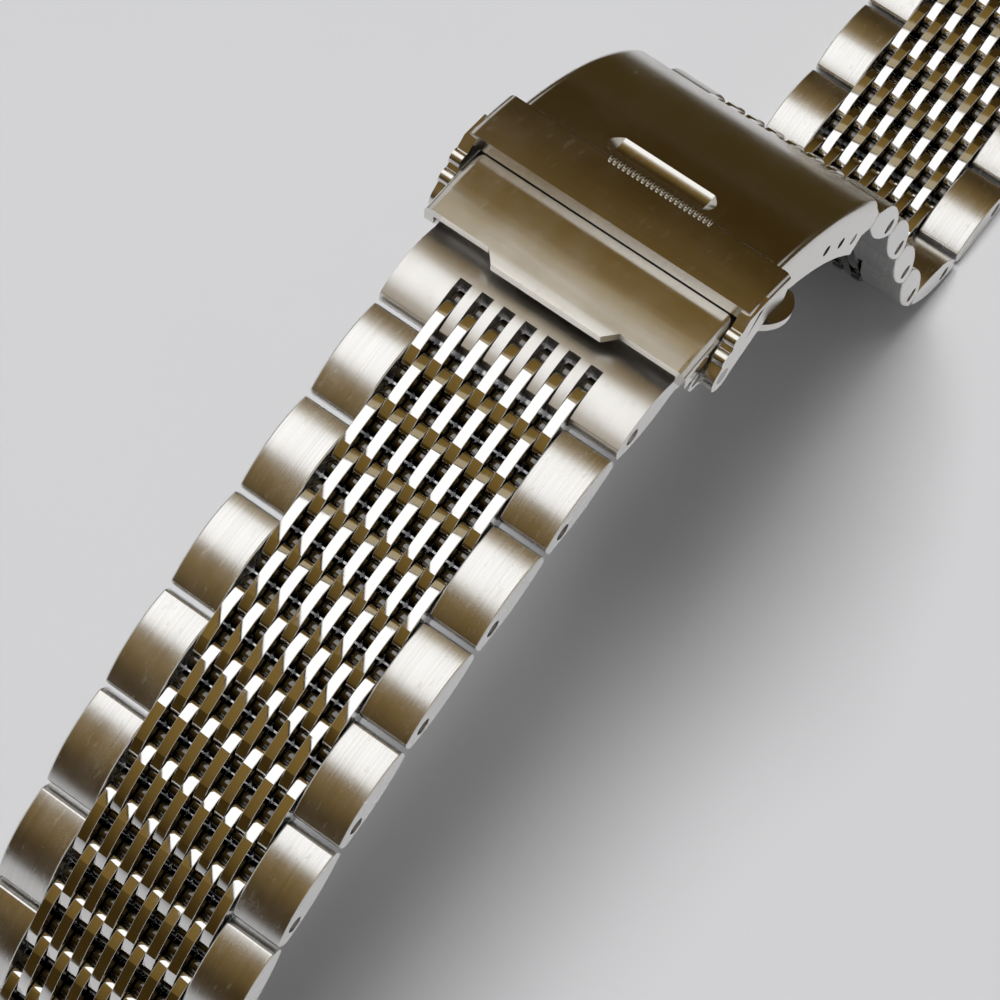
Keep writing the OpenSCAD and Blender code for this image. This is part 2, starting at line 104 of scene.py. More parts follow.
class StrapSizes(bpy.types.PropertyGroup):
    """Sizes of the links, which follow the CAD model."""

    link_length: bpy.props.FloatProperty(
        name="Link Length", description="From one side link to the next", default=8 * MM, unit="LENGTH")
    rise: bpy.props.FloatProperty(
        name="Rise", description="Height of the arched top above the pins", default=1.6 * MM, unit="LENGTH")
    depth: bpy.props.FloatProperty(
        name="Depth", description="Depth of the curved underside below the pins", default=1.3 * MM,
        unit="LENGTH")
    tip: bpy.props.FloatProperty(
        name="Tip", description="Half height of a link at its ends", default=0.55 * MM, unit="LENGTH")
    end_radius: bpy.props.FloatProperty(
        name="End Radius", description="Radius of a side link's ends about its pins", default=1.85 * MM,
        unit="LENGTH")
    top_radius: bpy.props.FloatProperty(
        name="Top Radius", description="Radius of a plate's flat top", default=12 * MM, unit="LENGTH")
    flat_reach: bpy.props.FloatProperty(
        name="Flat Reach", description="Where a plate's end facet starts", default=1.45 * MM, unit="LENGTH")
    end_facet: bpy.props.FloatProperty(
        name="End Facet", description="Bend from the top to the end facet", default=math.radians(10),
        subtype="ANGLE")
    facet_radius: bpy.props.FloatProperty(
        name="Facet Radius", description="Radius of the end facet", default=9 * MM, unit="LENGTH")
    shoulder: bpy.props.FloatProperty(
        name="Shoulder", description="Where a plate turns down", default=2.45 * MM, unit="LENGTH")
    shoulder_radius: bpy.props.FloatProperty(
        name="Shoulder Radius", description="Radius of that turn", default=0.75 * MM, unit="LENGTH")
    barrel_out: bpy.props.FloatProperty(
        name="Barrel Out", description="Centre of the low barrel at a plate's end", default=3.15 * MM,
        unit="LENGTH")
    barrel_down: bpy.props.FloatProperty(
        name="Barrel Down", description="Depth of that centre below the pins", default=0.4 * MM,
        unit="LENGTH")
    barrel_radius: bpy.props.FloatProperty(
        name="Barrel Radius", description="Radius of the low barrel", default=0.78 * MM, unit="LENGTH")
    half_width: bpy.props.FloatProperty(
        name="Half Width", description="Half the strap's width", default=10 * MM, unit="LENGTH")
    middle_width: bpy.props.FloatProperty(
        name="Middle Width", description="Width of the polished middle", default=11.9 * MM, unit="LENGTH")
    columns: bpy.props.IntProperty(
        name="Columns", description="Columns of plates across the polished middle", default=13)
    plate_gap: bpy.props.FloatProperty(
        name="Plate Gap", description="Gap between neighbouring plates", default=0.08 * MM, unit="LENGTH")
    pin_radius: bpy.props.FloatProperty(
        name="Pin Radius", description="Radius of the strap pins", default=0.6 * MM, unit="LENGTH")
    plate_crown: bpy.props.FloatProperty(
        name="Plate Crown", description="Lean of a plate's top at its long edges", default=math.radians(3),
        subtype="ANGLE")
    plate_edge: bpy.props.FloatProperty(
        name="Plate Edge", description="Easing of a plate's long edges", default=0.05 * MM, unit="LENGTH")
    side_edge: bpy.props.FloatProperty(
        name="Side Edge", description="Rounding of a side link's edges", default=0.16 * MM, unit="LENGTH")
    comb_width: bpy.props.FloatProperty(
        name="Comb Width", description="Width of the toothed grip on the lock's band", default=8.8 * MM,
        unit="LENGTH")
    sheet_edge: bpy.props.FloatProperty(
        name="Sheet Edge", description="Rounding of the clasp's cut edges", default=0.12 * MM, unit="LENGTH")


class SteelLook(bpy.types.PropertyGroup):
    """Colours and gloss of the steel finishes."""

    steel: bpy.props.FloatVectorProperty(
        name="Steel", description="Colour of the bare steel", default=(0.77, 0.76, 0.74), subtype="COLOR")
    # Partly the steel's own colour, partly painted reflection: the warm tint stands in for the brown room that
    # the clasp mirrors
    warm: bpy.props.FloatVectorProperty(
        name="Clasp Steel", description="Colour of the handled steel on the clasp", default=(0.72, 0.7, 0.66),
        subtype="COLOR")
    grain: bpy.props.FloatProperty(
        name="Grain", description="Depth of the brushed grain", default=0.25, subtype="FACTOR")
    brushed_gloss: bpy.props.FloatProperty(
        name="Brushed Roughness", description="Roughness of the brushed finish", default=0.22,
        subtype="FACTOR")
    polished_gloss: bpy.props.FloatProperty(
        name="Polished Roughness", description="Roughness of the polished finish", default=0.06,
        subtype="FACTOR")
    satin_gloss: bpy.props.FloatProperty(
        name="Satin Roughness", description="Roughness of the clasp's cover", default=0.17, subtype="FACTOR")


class StageLook(bpy.types.PropertyGroup):
    """Camera, floor and light."""

    azimuth: bpy.props.FloatProperty(
        name="Azimuth", description="Direction that the camera looks along", default=math.radians(53.4789),
        subtype="ANGLE")
    elevation: bpy.props.FloatProperty(
        name="Elevation", description="Camera's height above the horizon", default=math.radians(66.6187),
        subtype="ANGLE")
    distance: bpy.props.FloatProperty(
        name="Distance", description="From the camera to the origin's depth", default=310.4013 * MM,
        unit="LENGTH")
    aim_right: bpy.props.FloatProperty(
        name="Aim Right", description="Middle of the picture, right of the origin", default=-8.6445 * MM,
        unit="LENGTH")
    aim_up: bpy.props.FloatProperty(
        name="Aim Up", description="Middle of the picture, above the origin", default=1.7453 * MM,
        unit="LENGTH")
    zoom: bpy.props.FloatProperty(
        name="Zoom", description="Lens length over sensor width", default=3.7979)
    floor: bpy.props.FloatVectorProperty(
        name="Floor", description="Colour of the floor", default=(0.66, 0.66, 0.67), subtype="COLOR")
    room: bpy.props.FloatVectorProperty(
        name="Room", description="Colour overhead of the dim room that the steel mirrors",
        default=(0.23, 0.145, 0.038),
        subtype="COLOR")
    dusk: bpy.props.FloatVectorProperty(
        name="Dusk", description="Colour of that room near the floor", default=(0.05, 0.029, 0.006),
        subtype="COLOR")
    sides: bpy.props.FloatVectorProperty(
        name="Sides", description="Colour of the pale walls on both sides of that room",
        default=(0.6, 0.59, 0.57),
        subtype="COLOR")
    fill: bpy.props.FloatVectorProperty(
        name="Fill", description="Colour of the cream card beside the panel", default=(0.46, 0.38, 0.24),
        subtype="COLOR")
    bench: bpy.props.FloatVectorProperty(
        name="Bench", description="Colour of the dark bench beyond the floor", default=(0.06, 0.04, 0.012),
        subtype="COLOR")


# Shader maths written as Python expressions

class Wire:
    """One output of a shader node; arithmetic on it adds Math nodes."""

    def __init__(self, recipe, socket):
        self.recipe = recipe
        self.socket = socket

    def _sum(self, operation, first, second):
        return self.recipe.add("ShaderNodeMath", {"operation": operation}, {0: first, 1: second})

    def __add__(self, other):
        return self._sum("ADD", self, other)

    def __radd__(self, other):
        return self._sum("ADD", other, self)

    def __sub__(self, other):
        return self._sum("SUBTRACT", self, other)

    def __mul__(self, other):
        return self._sum("MULTIPLY", self, other)

    def __rmul__(self, other):
        return self._sum("MULTIPLY", other, self)


class Recipe:
    """A material's or the world's node tree, emptied and filled one node at a time."""

    def __init__(self, owner):
        owner.use_nodes = True
        self.tree = owner.node_tree
        self.tree.nodes.clear()

    def add(self, kind, settings=None, inputs=None, output=0):
        """Adds a node: its settings first, then the values or links of its sockets."""
        node = self.tree.nodes.new(kind)
        for name, value in (settings or {}).items():
            setattr(node, name, value)
        for name, value in (inputs or {}).items():
            if isinstance(value, Wire):
                self.tree.links.new(value.socket, node.inputs[name])
            else:
                node.inputs[name].default_value = value
        return Wire(self, node.outputs[output]) if len(node.outputs) else None

    def place(self, scale, turn=(0.0, 0.0, 0.0)):
        """Object coordinates, stretched by a scale on each axis."""
        where = self.add("ShaderNodeTexCoord", output="Object")
        return self.add("ShaderNodeMapping", None, {"Vector": where, "Scale": scale, "Rotation": turn})

    def noise(self, scale, detail=3.0, rough=0.5, size=1.0, turn=(0.0, 0.0, 0.0)):
        """Noise of about 0 to 1 on Object coordinates."""
        return self.add("ShaderNodeTexNoise", None, {
            "Vector": self.place(scale, turn), "Scale": size, "Detail": detail, "Roughness": rough})

    def ramp(self, factor, low, high):
        """0 below low, 1 above high, and a smooth step between."""
        return self.add("ShaderNodeMapRange", {"interpolation_type": "SMOOTHSTEP"}, {
            "Value": factor, "From Min": low, "From Max": high})

    def blend(self, factor, first, second):
        """One colour turning into another."""
        return self.add("ShaderNodeMix", {"data_type": "RGBA"}, {0: factor, 6: first, 7: second}, output=2)


def steel_material(name, colour, gloss, dim, grain, streak, paints_pit_shade=False):
    """Metal whose colour, roughness and bump vary: fine grain lines, soft handling marks and a few scratches.

    A finish with painted pit shade also darkens with its piece's depth attribute: painted shade in the pits
    between plates.
    """
    material = bpy.data.materials.new(name)
    recipe = Recipe(material)
    lines = recipe.noise(streak, detail=2.0)
    marks = recipe.noise((260.0, 260.0, 260.0), detail=4.0, rough=0.6)
    wisps = recipe.ramp(recipe.noise((900.0, 2600.0, 900.0), detail=1.0, turn=(0.2, 0.4, 0.9)), 0.66, 0.72)
    dull = recipe.ramp(marks, 0.35, 0.75)
    first = tuple(c * dim for c in colour) + (1.0,)
    second = tuple(colour) + (1.0,)
    tint = recipe.blend(recipe.ramp(lines * 0.6 + marks * 0.4, 0.3, 0.7), first, second)
    if paints_pit_shade:
        # Painted shade: the colour darkens towards a tenth of the steel as the depth attribute rises, in the
        # pits between plates
        deep = recipe.add("ShaderNodeAttribute", {"attribute_name": "depth"}, output=2)
        tint = recipe.blend(recipe.ramp(deep, 0.0, 1.0), tint, tuple(0.1 * c for c in colour) + (1.0,))
    rough = gloss + grain * 0.16 * lines + 0.06 * dull + 0.05 * wisps - grain * 0.06
    height = recipe.add("ShaderNodeBump", None, {
        "Strength": 0.05 + 0.5 * grain, "Distance": 0.00002,
        "Height": lines * grain + marks * 0.08 + wisps * 0.05})
    shader = recipe.add("ShaderNodeBsdfPrincipled", None, {
        "Base Color": tint, "Metallic": 1.0, "Roughness": rough, "Normal": height})
    recipe.add("ShaderNodeOutputMaterial", None, {"Surface": shader})
    return material


def finish_for(slot):
    """The steel finish of a material slot, made once."""
    name = "steel_" + slot
    if name in bpy.data.materials:
        return bpy.data.materials[name]
    look = bpy.context.scene.bracelet_steel
    along = (90.0, 9000.0, 90.0)
    across = (5200.0, 160.0, 5200.0)
    # Colour, roughness, darkest tone, grain, stretch of the grain lines, and whether depth paints shade on it
    finishes = {
        "ends": (look.steel, 0.3, 0.95, look.grain, along),
        "brushed": (look.steel, look.brushed_gloss, 0.86, look.grain, along),
        # The polished plates get painted shade in their pits
        "polished": (look.steel, look.polished_gloss, 0.95, 0.04, along, True),
        # The satin cover's colour carries a painted brown reflection
        "satin": (look.warm, look.satin_gloss, 0.93, 0.1, across),
        "blades": (look.steel, look.brushed_gloss, 0.84, look.grain, along),
        "pins": (tuple(0.6 * c for c in look.steel), 0.32, 0.8, 0.3, across),
    }
    return steel_material(name, *finishes[slot])


# Shapes worked out with numpy

def circles_meet(first, first_r, second, second_r):
    """The right-hand point where two circles cross: foot of the common chord plus or minus half of it."""
    gap = second - first
    far = np.hypot(*gap)
    along = (far ** 2 + first_r ** 2 - second_r ** 2) / (2 * far)
    half = math.sqrt(first_r ** 2 - along ** 2)
    foot = first + gap * along / far
    side = np.array([-gap[1], gap[0]]) / far * half
    return max(foot + side, foot - side, key=lambda point: point[0])


def arc_chain(arcs):
    """Points of arcs that follow each other, centre + radius * (cos t, sin t), and normals (cos t, sin t)."""
    points, normals = [], []
    for centre, radius, start, stop, many in arcs:
        t = np.linspace(start, stop, many + 1)
        out = np.stack([np.cos(t), np.sin(t)], 1)
        points.append(np.asarray(centre) + radius * out)
        normals.append(out)
    return np.concatenate(points), np.concatenate(normals)


def link_outline(sizes, ease, steps):
    """Closed side view of a link and its outward normals, run anticlockwise.

    It is a nose about each pin, a top arc and a flatter arc below, each centre + radius * (cos t, sin t),
    so that a normal is (cos t, sin t) as well; the corner between two arcs is cut by a short chord.
    """
    end_radius = sizes.end_radius
    half = sizes.link_length / 2
    pin = sizes.link_length / 4
    rise = sizes.rise - sizes.tip
    drop = sizes.depth - sizes.tip
    top_r = (half ** 2 + rise ** 2) / (2 * rise)
    low_r = (half ** 2 + drop ** 2) / (2 * drop)
    top_c = np.array([0.0, sizes.rise - top_r])
    low_c = np.array([0.0, low_r - sizes.depth])
    nose = np.array([pin, 0.0])
    high = circles_meet(top_c, top_r, nose, end_radius)
    low = circles_meet(low_c, low_r, nose, end_radius)
    top_t = math.asin((high[0] - ease) / top_r)
    low_t = math.asin((low[0] - ease) / low_r)
    nose_low = math.atan2(low[1], low[0] - pin) + ease / end_radius
    nose_high = math.atan2(high[1], high[0] - pin) - ease / end_radius
    quarter = math.pi / 2
    arcs = (
        (nose, end_radius, nose_low, nose_high, steps[1]),
        (top_c, top_r, quarter - top_t, quarter + top_t, steps[0]),
        (-nose, end_radius, math.pi - nose_high, math.pi - nose_low, steps[1]),
        (low_c, low_r, -quarter - low_t, -quarter + low_t, steps[2]),
    )
    return arc_chain(arcs)


def rings_of(outline, places, pulls, leans):
    """Places and normals of a stack of rings, ring by point by xyz.

    Ring k is the outline at y = places[k], moved inwards by pulls[k]; its normals lean out of the
    outline's plane by the angle leans[k], as cos(lean) * outward + sin(lean) * y.
    """
    edge, out = outline
    flat = edge[None] - pulls[:, None, None] * out[None]
    wide = np.broadcast_to(places[:, None], flat.shape[:2])
    points = np.stack([flat[..., 0], wide, flat[..., 1]], -1)
    level = np.cos(leans)[:, None, None] * out[None]
    normals = np.stack([level[..., 0], np.broadcast_to(np.sin(leans)[:, None], wide.shape), level[..., 1]], -1)
    return points, normals


def rounded_bar(outline, y0, y1, edge, steps):
    """Rings of a flat-topped bar with rounded rims.

    Each rim is a quarter circle with t from 0 to 90 degrees: its depth is edge * (1 - cos t) and its
    inset is edge * (1 - sin t).
    """
    t = np.linspace(0, math.pi / 2, steps + 1)
    depth = edge * (1 - np.cos(t))
    pull = edge * (1 - np.sin(t))
    places = np.concatenate([y0 + depth, (y1 - depth)[::-1]])
    leans = np.concatenate([t - math.pi / 2, (math.pi / 2 - t)[::-1]])
    return rings_of(outline, places, np.concatenate([pull, pull[::-1]]), leans)


def plate_outline(sizes):
    """Closed side view of a plate and its outward normals, as arcs that follow each other.

    From the middle outwards: a flat top arc, a steeper end facet, a round shoulder that it touches, and a
    barrel below the shoulder that closes the pit to the next plate; the underside is one arc to both barrels.
    """
    top_t = math.asin(sizes.flat_reach / sizes.top_radius)
    top_z = sizes.rise - sizes.top_radius
    start = np.array([sizes.flat_reach, top_z + sizes.top_radius * math.cos(top_t)])
    lean = top_t + sizes.end_facet
    facet_c = start - sizes.facet_radius * np.array([math.sin(lean), math.cos(lean)])
    last = math.asin((sizes.shoulder - facet_c[0]) / sizes.facet_radius)
    way = np.array([math.sin(last), math.cos(last)])
    round_c = facet_c + (sizes.facet_radius - sizes.shoulder_radius) * way
    barrel = np.array([sizes.barrel_out, -sizes.barrel_down])
    meet = circles_meet(round_c, sizes.shoulder_radius, barrel, sizes.barrel_radius)
    round_t = math.atan2(*(meet - round_c)[::-1])
    barrel_t = math.atan2(*(meet - barrel)[::-1])
    h = sizes.depth - sizes.barrel_down
    low_r = (barrel[0] ** 2 + h ** 2 - sizes.barrel_radius ** 2) / (2 * (h - sizes.barrel_radius))
    low_z = low_r - sizes.depth
    low = math.atan2(barrel[1] - low_z, barrel[0])
    quarter, gap, turn, low_gap = math.pi / 2, 0.004, 0.02, 0.05
    right = (
        (barrel, sizes.barrel_radius, low, barrel_t - turn, 4),
        (round_c, sizes.shoulder_radius, round_t + turn, quarter - last, 2),
        (facet_c, sizes.facet_radius, quarter - last + gap, quarter - lean, 1),
    )
    left = [((-c[0], c[1]), r, math.pi - stop, math.pi - begin, many)
            for c, r, begin, stop, many in right[::-1]]
    middle = ((0.0, top_z), sizes.top_radius, quarter - top_t + gap, quarter + top_t - gap, 3)
    under = ((0.0, low_z), low_r, -math.pi - low + low_gap, low - low_gap, 1)
    return arc_chain((*right, middle, *left, under))


def plate_bar(outline, y0, y1, edge, crown):
    """Rings of a plate that is flat across: eased rims, and normals that lean outwards by the crown angle."""
    rim_lean = 1.2
    places = np.array([y0, y0 + edge, y1 - edge, y1])
    pulls = np.array([edge, 0.0, 0.0, edge])
    return rings_of(outline, places, pulls, np.array([-rim_lean, -crown, crown, rim_lean]))


def tube_faces(rings, points):
    """Quads between neighbouring closed rings, facing outwards for an anticlockwise outline seen from -y."""
    ring = np.arange(rings - 1)[:, None] * points
    here = np.arange(points)[None, :]
    after = (here + 1) % points
    return np.stack([ring + here, ring + points + here, ring + points + after, ring + after], -1).reshape(-1, 4)


class Shell:
    """Collects closed shells and makes one mesh object of them."""

    def __init__(self):
        self.points = []
        self.normals = []
        self.quads = []
        self.caps = []
        self.count = 0

    def bar(self, rings):
        """A stack of rings with their normals, closed by a flat cap at each end."""
        points, normals = rings
        many, size = points.shape[:2]
        self.points.append(points.reshape(-1, 3))
        self.normals.append(normals.reshape(-1, 3))
        self.quads.append(tube_faces(many, size) + self.count)
        last = self.count + (many - 1) * size
        self.caps.append(np.arange(self.count, self.count + size))
        self.caps.append(np.arange(last, last + size)[::-1])
        self.count += many * size

    def make(self, name, centre, ahead, up, finish, body, node):
        """Places the shells on a row: local x along ahead, z along up, from the row's centre.

        The depth attribute rises from 0 near the top to 1 below it; a finish that reads it paints shade there.
        """
        axes = np.array([ahead, [0.0, 1.0, 0.0], up])
        world = centre + np.concatenate(self.points) @ axes
        quads = np.concatenate(self.quads)
        caps = self.caps
        if np.linalg.det(axes) < 0:
            quads = quads[:, ::-1]
            caps = [cap[::-1] for cap in caps]
        mesh = bpy.data.meshes.new(name)
        mesh.from_pydata(world.tolist(), [], quads.tolist() + [cap.tolist() for cap in caps])
        mesh.polygons.foreach_set("use_smooth", np.ones(len(mesh.polygons), bool))
        sides = np.concatenate([
            np.full((len(cap), 3), (0.0, s, 0.0)) for cap, s in zip(caps, (-1, 1) * len(caps))])
        corners = np.concatenate([np.concatenate(self.normals)[quads.ravel()] @ axes, sides])
        mesh.normals_split_custom_set(corners.tolist())
        # Painted shade: depth grows below SHADE_TOP and feeds the darkening of the finishes that read it
        depth = (SHADE_TOP - np.concatenate(self.points)[:, 2]) / SHADE_DROP
        mesh.attributes.new("depth", "FLOAT", "POINT").data.foreach_set("value", np.clip(depth, 0.0, 1.0))
        mesh.materials.append(finish)
        piece = bpy.data.objects.new(name, mesh)
        bpy.context.scene.collection.objects.link(piece)
        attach(piece, body)
        if node:
            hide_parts(node)


def pins_of(half):
    """Pins of one strap half, from the clasp outwards, as an array of places."""
    names = [half + "_end_hinge"] + [half + "_pin_%d" % k for k in range(1, ROWS[half] + 2)]
    return np.array([JOINTS[name]["pos_m"] for name in names])


def rows_of(half, odd):
    """Name, centre, direction towards the clasp and upward direction of every second row of one half."""
    pins = pins_of(half)[1:]
    kind = "_plates_" if odd else "_links_"
    for j in range(1 if odd else 2, ROWS[half] + 1, 2):
        inner, outer = pins[j - 1], pins[j]
        ahead = (inner - outer) / np.linalg.norm(inner - outer)
        up = np.array([-ahead[2], 0.0, ahead[0]]) * (1.0 if half == "near" else -1.0)
        yield half + kind + str((j + 1) // 2 if odd else j // 2), (inner + outer) / 2, ahead, up


def column_bars(shell, sizes, first):
    """Plates in every second column: the plate outline as an eased bar at each column's place."""
    pitch = sizes.middle_width / sizes.columns
    half = (pitch - sizes.plate_gap) / 2
    outline = plate_outline(sizes)
    for k in range(first, sizes.columns, 2):
        middle = (k - (sizes.columns - 1) / 2) * pitch
        shell.bar(plate_bar(outline, middle - half, middle + half, sizes.plate_edge, sizes.plate_crown))


def side_bars(shell, sizes):
    """Two side links, each a wide rounded bar whose outer face has a round recess over the pin's end."""
    corner, clearance, lip, lip_depth, recess = 0.11 * MM, 0.03 * MM, 0.07 * MM, 0.05 * MM, 0.6 * MM
    inner = sizes.middle_width / 2 + sizes.plate_gap / 2
    outline = link_outline(sizes, corner, (22, 7, 12))
    hole = np.array([-sizes.link_length / 4, 0.0])
    spoke = outline[0] - hole
    spoke /= np.linalg.norm(spoke, axis=1)[:, None]
    wall = sizes.pin_radius + clearance
    for s in (-1, 1):
        ends = sorted((s * inner, s * sizes.half_width))
        points, normals = rounded_bar(outline, *ends, sizes.side_edge, 3)
        holes = [
            np.stack([r[:, 0], np.full(len(r), s * (sizes.half_width - depth)), r[:, 1]], 1)
            for r, depth in ((hole + spoke * (wall + lip), 0.0), (hole + spoke * wall, lip_depth),
                             (hole + spoke * wall, recess))]
        flat = np.full(holes[0].shape, (0.0, s, 0.0))
        inward = np.stack([-spoke[:, 0], 0 * spoke[:, 0], -spoke[:, 1]], 1)
        shades = [flat, inward, inward]
        if s < 0:
            holes, shades = holes[::-1], shades[::-1]
            shell.bar((np.concatenate([holes, points]), np.concatenate([shades, normals])))
        else:
            shell.bar((np.concatenate([points, holes]), np.concatenate([normals, shades])))


def pin_bars(shell, sizes):
    """Two pins: a circle carried across the strap with eased ends."""
    sides, inset, ease = 16, 0.4 * MM, 0.15 * MM
    t = np.linspace(0, 2 * math.pi, sides, endpoint=False)
    disc = sizes.pin_radius * np.stack([np.cos(t), np.sin(t)], 1)
    reach = sizes.half_width - inset
    for x in (-sizes.link_length / 4, sizes.link_length / 4):
        shell.bar(rounded_bar((disc + (x, 0.0), disc / sizes.pin_radius), -reach, reach, ease, 1))


def comb_bar(shell, sizes):
    """The grip comb: an eased bar across the strap whose top is a wave of teeth.

    Four rings a tooth, at 5, 12, 55 and 62 % of its pitch: low, tall, tall and low.
    """
    teeth, tall, low, deep, wide = 22, 0.2 * MM, 0.03 * MM, 0.25 * MM, 0.55 * MM
    inset, drop = 0.08 * MM, 0.06 * MM
    pitch = sizes.comb_width / teeth
    places = (np.arange(teeth)[:, None] * pitch + np.array([0.05, 0.12, 0.55, 0.62]) * pitch).ravel()
    tops = np.tile([low, tall, tall, low], teeth)
    zero, one = np.zeros(len(places)), np.ones(len(places))
    x = np.stack([zero, wide * one, wide * one, (wide - inset) * one, inset * one, zero], 1)
    z = np.stack([-deep * one, -deep * one, tops - drop, tops, tops, tops - drop], 1)
    y = np.broadcast_to(places[:, None] - sizes.comb_width / 2, x.shape)
    points = np.stack([x, y, z], -1)
    way = np.array([[-0.6, -0.8], [0.6, -0.8], [0.9, 0.43], [0.1, 0.99], [-0.1, 0.99], [-0.9, 0.43]])
    tilt = np.tile([-0.7, -0.3, 0.3, 0.7], teeth)[:, None] * np.ones(6)
    level = np.sqrt(1 - tilt ** 2)
    normals = np.stack([way[:, 0] * level, tilt, way[:, 1] * level], -1)
    shell.bar((points, normals))


def eased_copy(node, name, slot, edge, steps=2, finish=None):
    """A merged copy of a CAD node whose cut edges are rounded by a live Bevel."""
    source = frame["nodes"][node]
    mesh = source.data.copy()
    mesh.name = name
    work = bmesh.new()
    work.from_mesh(mesh)
    bmesh.ops.remove_doubles(work, verts=work.verts, dist=WELD)
    bmesh.ops.dissolve_limit(work, angle_limit=math.radians(0.6), verts=work.verts, edges=work.edges)
    for face in work.faces:
        face.smooth = True
    for line in work.edges:
        line.smooth = len(line.link_faces) == 2 and line.calc_face_angle(0) < SHARP
    work.to_mesh(mesh)
    work.free()
    mesh.materials.clear()
    mesh.materials.append(finish_for(finish or slot))
    piece = bpy.data.objects.new(name, mesh)
    bpy.context.scene.collection.objects.link(piece)
    ease = piece.modifiers.new("Eased edges", "BEVEL")
    ease.width = edge
    ease.segments = steps
    ease.limit_method = "ANGLE"
    ease.angle_limit = SHARP
    ease.harden_normals = True
    ease.use_clamp_overlap = True
    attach(piece, source["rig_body"])
    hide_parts(node)


def refinish(node, slot):
    """Gives a CAD node a steel finish and leaves its shape."""
    mesh = frame["nodes"][node].data
    mesh.materials.clear()
    mesh.materials.append(finish_for(slot))


# Operators

class BRACELET_OT_plates(bpy.types.Operator):
    """Polished arched plates of every row"""

    bl_idname = "bracelet.plates"
    bl_label = "Plates"

    def execute(self, context):
        sizes = context.scene.bracelet_strap
        for half in ROWS:
            for odd in (True, False):
                for node, centre, ahead, up in rows_of(half, odd):
                    shell = Shell()
                    column_bars(shell, sizes, 0 if odd else 1)
                    shell.make(node + "_polished", centre, ahead, up, finish_for("polished"),
                               node, node)
        return {"FINISHED"}


class BRACELET_OT_side_links(bpy.types.Operator):
    """Brushed links at both edges of every second row"""

    bl_idname = "bracelet.side_links"
    bl_label = "Side Links"

    def execute(self, context):
        sizes = context.scene.bracelet_strap
        for half in ROWS:
            for node, centre, ahead, up in rows_of(half, False):
                shell = Shell()
                side_bars(shell, sizes)
                shell.make(node + "_sides", centre, ahead, up, finish_for("brushed"), node, node)
        return {"FINISHED"}


class BRACELET_OT_pins(bpy.types.Operator):
    """Pins that join the rows"""

    bl_idname = "bracelet.pins"
    bl_label = "Pins"

    def execute(self, context):
        sizes = context.scene.bracelet_strap
        for half in ROWS:
            for node, centre, ahead, up in rows_of(half, False):
                shell = Shell()
                pin_bars(shell, sizes)
                shell.make(node + "_pins", centre, ahead, up, finish_for("pins"), node, node)
        for node in ("near_spring_bar", "far_spring_bar", "cover_hinge_pin", "blade_hinge_pin", "lock_pins"):
            refinish(node, "pins")
        return {"FINISHED"}


class BRACELET_OT_strap_ends(bpy.types.Operator):
    """End links and lug ends with rounded edges"""

    bl_idname = "bracelet.strap_ends"
    bl_label = "Strap Ends"

    def execute(self, context):
        edge = context.scene.bracelet_strap.side_edge
        for node in ("near_end_link", "far_end_link", "near_lug_end", "far_lug_end"):
            eased_copy(node, node + "_brushed", "brushed", edge, finish="ends")
        return {"FINISHED"}


class BRACELET_OT_clasp(bpy.types.Operator):
    """Cover, safety lock with its teeth, buttons, catch spring and folding blades"""

    bl_idname = "bracelet.clasp"
    bl_label = "Clasp"

    def execute(self, context):
        edge = context.scene.bracelet_strap.sheet_edge
        for node in ("cover", "safety_lock", "button_left", "button_right"):
            eased_copy(node, node + "_satin", "satin", edge)
        for node in ("outer_blade", "inner_blade", "catch_plate", "end_bracket"):
            eased_copy(node, node + "_brushed", "blades", BLADE_EDGE, 1)
        for side, button in ((1, "button_left"), (-1, "button_right")):
            self.spring_half(side, button)
        self.comb(context.scene.bracelet_strap)
        return {"FINISHED"}

    def spring_half(self, side, button):
        """Half of the catch spring, named after its push button.

        The half is cut at the middle plane, and the leg gets level cuts where it bends: from the underside of
        the sprung plate down to the top of the button's tip, both as distances from the clasp's centre.
        """
        source = frame["nodes"]["catch_spring"]
        up = Vector((math.sin(SPRING_TILT), 0.0, math.cos(SPRING_TILT)))
        centre = Vector(CLASP_CENTRE) * MM
        plate, tip, cuts = 31.85 * MM, 31.5 * MM, 8
        name = button.replace("button", "catch_spring")
        mesh = source.data.copy()
        mesh.name = name
        work = bmesh.new()
        work.from_mesh(mesh)
        bmesh.ops.remove_doubles(work, verts=work.verts, dist=WELD)
        cut = bmesh.ops.bisect_plane(
            work, geom=work.verts[:] + work.edges[:] + work.faces[:], plane_co=(0.0, 0.0, 0.0),
            plane_no=(0.0, side, 0.0), clear_inner=True)["geom_cut"]
        bmesh.ops.holes_fill(work, edges=[part for part in cut if isinstance(part, bmesh.types.BMEdge)])
        for step in range(cuts + 1):
            bmesh.ops.bisect_plane(
                work, geom=work.verts[:] + work.edges[:] + work.faces[:],
                plane_co=centre + up * (plate + (tip - plate) * step / cuts), plane_no=up)
        bmesh.ops.triangulate(work, faces=work.faces)
        bmesh.ops.recalc_face_normals(work, faces=work.faces)
        work.to_mesh(mesh)
        work.free()
        mesh.materials.clear()
        mesh.materials.append(finish_for("pins"))
        piece = bpy.data.objects.new(name, mesh)
        bpy.context.scene.collection.objects.link(piece)
        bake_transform(piece)
        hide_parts("catch_spring")

    def comb(self, sizes):
        """The toothed grip on the far edge of the lock's band, square to the curve of the clasp."""
        low, high = (np.array(corner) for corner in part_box("safety_lock"))
        radius, back, aside = 33.08 * MM, 0.35 * MM, 0.9 * MM
        ahead = np.array([math.cos(COMB_TILT), 0.0, -math.sin(COMB_TILT)])
        up = np.array([math.sin(COMB_TILT), 0.0, math.cos(COMB_TILT)])
        edge = np.array(CLASP_CENTRE) * MM + radius * up - back * ahead
        edge[1] = (low[1] + high[1]) / 2 - aside
        shell = Shell()
        comb_bar(shell, sizes)
        shell.make("lock_comb", edge, ahead, up, finish_for("satin"),
                   frame["nodes"]["safety_lock"]["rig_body"], None)


